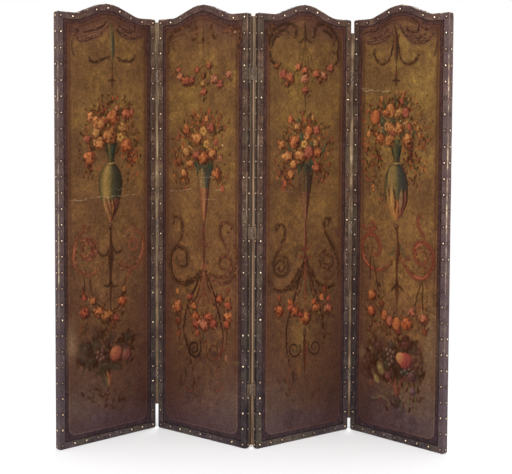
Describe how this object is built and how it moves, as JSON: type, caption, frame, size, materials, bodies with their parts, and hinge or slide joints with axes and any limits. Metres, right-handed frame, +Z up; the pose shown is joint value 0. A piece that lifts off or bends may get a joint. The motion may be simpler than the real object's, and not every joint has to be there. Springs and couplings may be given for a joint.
{
  "type": "folding screen",
  "caption": "Free-standing folding screen: tall leaves with arched tops, covered in painted leather, close-nailed at the edges and hinged to stand in a zigzag.",
  "frame": {"origin": "on the floor, under the middle of the box round the standing screen", "axes": "+Z up, -Y out of the painted fronts towards the room, +X to the right as the fronts are seen"},
  "size_m": [1.5988, 0.3762, 1.83],
  "materials": {
    "painted_leather": "satin",
    "back_leather": "satin",
    "band_leather": "satin",
    "strip_leather": "satin",
    "stretcher_wood": "matt",
    "nail_brass": "satin",
    "hinge_brass": "satin",
    "screw_steel": "satin"
  },
  "bodies": {
    "leaf_1": {"leaf_1_left_stile": "stretcher_wood", "leaf_1_right_stile": "stretcher_wood", "leaf_1_top_rail": "stretcher_wood", "leaf_1_bottom_rail": "stretcher_wood", "leaf_1_cross_rails": "stretcher_wood", "leaf_1_painted_front": "painted_leather", "leaf_1_leather_back": "back_leather", "leaf_1_side_bands": "band_leather", "leaf_1_top_band": "band_leather", "leaf_1_bottom_band": "band_leather", "leaf_1_nails": "nail_brass", "leaf_1_hinge_screws": "screw_steel", "fold_1_2_left_plates": "hinge_brass", "fold_1_2_pins": "screw_steel", "fold_1_2_strip": "strip_leather"},
    "leaf_2": {"leaf_2_left_stile": "stretcher_wood", "leaf_2_right_stile": "stretcher_wood", "leaf_2_top_rail": "stretcher_wood", "leaf_2_bottom_rail": "stretcher_wood", "leaf_2_cross_rails": "stretcher_wood", "leaf_2_painted_front": "painted_leather", "leaf_2_leather_back": "back_leather", "leaf_2_side_bands": "band_leather", "leaf_2_top_band": "band_leather", "leaf_2_bottom_band": "band_leather", "leaf_2_nails": "nail_brass", "leaf_2_hinge_screws": "screw_steel", "fold_1_2_right_plates": "hinge_brass", "fold_2_3_left_plates": "hinge_brass", "fold_2_3_pins": "screw_steel", "fold_2_3_strip": "strip_leather"},
    "leaf_3": {"leaf_3_left_stile": "stretcher_wood", "leaf_3_right_stile": "stretcher_wood", "leaf_3_top_rail": "stretcher_wood", "leaf_3_bottom_rail": "stretcher_wood", "leaf_3_cross_rails": "stretcher_wood", "leaf_3_painted_front": "painted_leather", "leaf_3_leather_back": "back_leather", "leaf_3_side_bands": "band_leather", "leaf_3_top_band": "band_leather", "leaf_3_bottom_band": "band_leather", "leaf_3_nails": "nail_brass", "leaf_3_hinge_screws": "screw_steel", "fold_2_3_right_plates": "hinge_brass", "fold_3_4_left_plates": "hinge_brass", "fold_3_4_pins": "screw_steel", "fold_3_4_strip": "strip_leather"},
    "leaf_4": {"leaf_4_left_stile": "stretcher_wood", "leaf_4_right_stile": "stretcher_wood", "leaf_4_top_rail": "stretcher_wood", "leaf_4_bottom_rail": "stretcher_wood", "leaf_4_cross_rails": "stretcher_wood", "leaf_4_painted_front": "painted_leather", "leaf_4_leather_back": "back_leather", "leaf_4_side_bands": "band_leather", "leaf_4_top_band": "band_leather", "leaf_4_bottom_band": "band_leather", "leaf_4_nails": "nail_brass", "leaf_4_hinge_screws": "screw_steel", "fold_3_4_right_plates": "hinge_brass"}
  },
  "joints": [
    {"name": "left_fold", "type": "hinge", "parent": "leaf_2", "child": "leaf_1", "pos_m": [-0.42107, 0.16544, 0], "axis": [0, 0, 1], "range_deg": [-83, 97], "deforming": ["fold_1_2_strip"]},
    {"name": "middle_fold", "type": "hinge", "parent": "leaf_2", "child": "leaf_3", "pos_m": [0, -0.11912, 0], "axis": [0, 0, 1], "range_deg": [-76, 104], "deforming": ["fold_2_3_strip"]},
    {"name": "right_fold", "type": "hinge", "parent": "leaf_3", "child": "leaf_4", "pos_m": [0.42107, 0.16544, 0], "axis": [0, 0, -1], "range_deg": [-83, 97], "deforming": ["fold_3_4_strip"]}
  ]
}
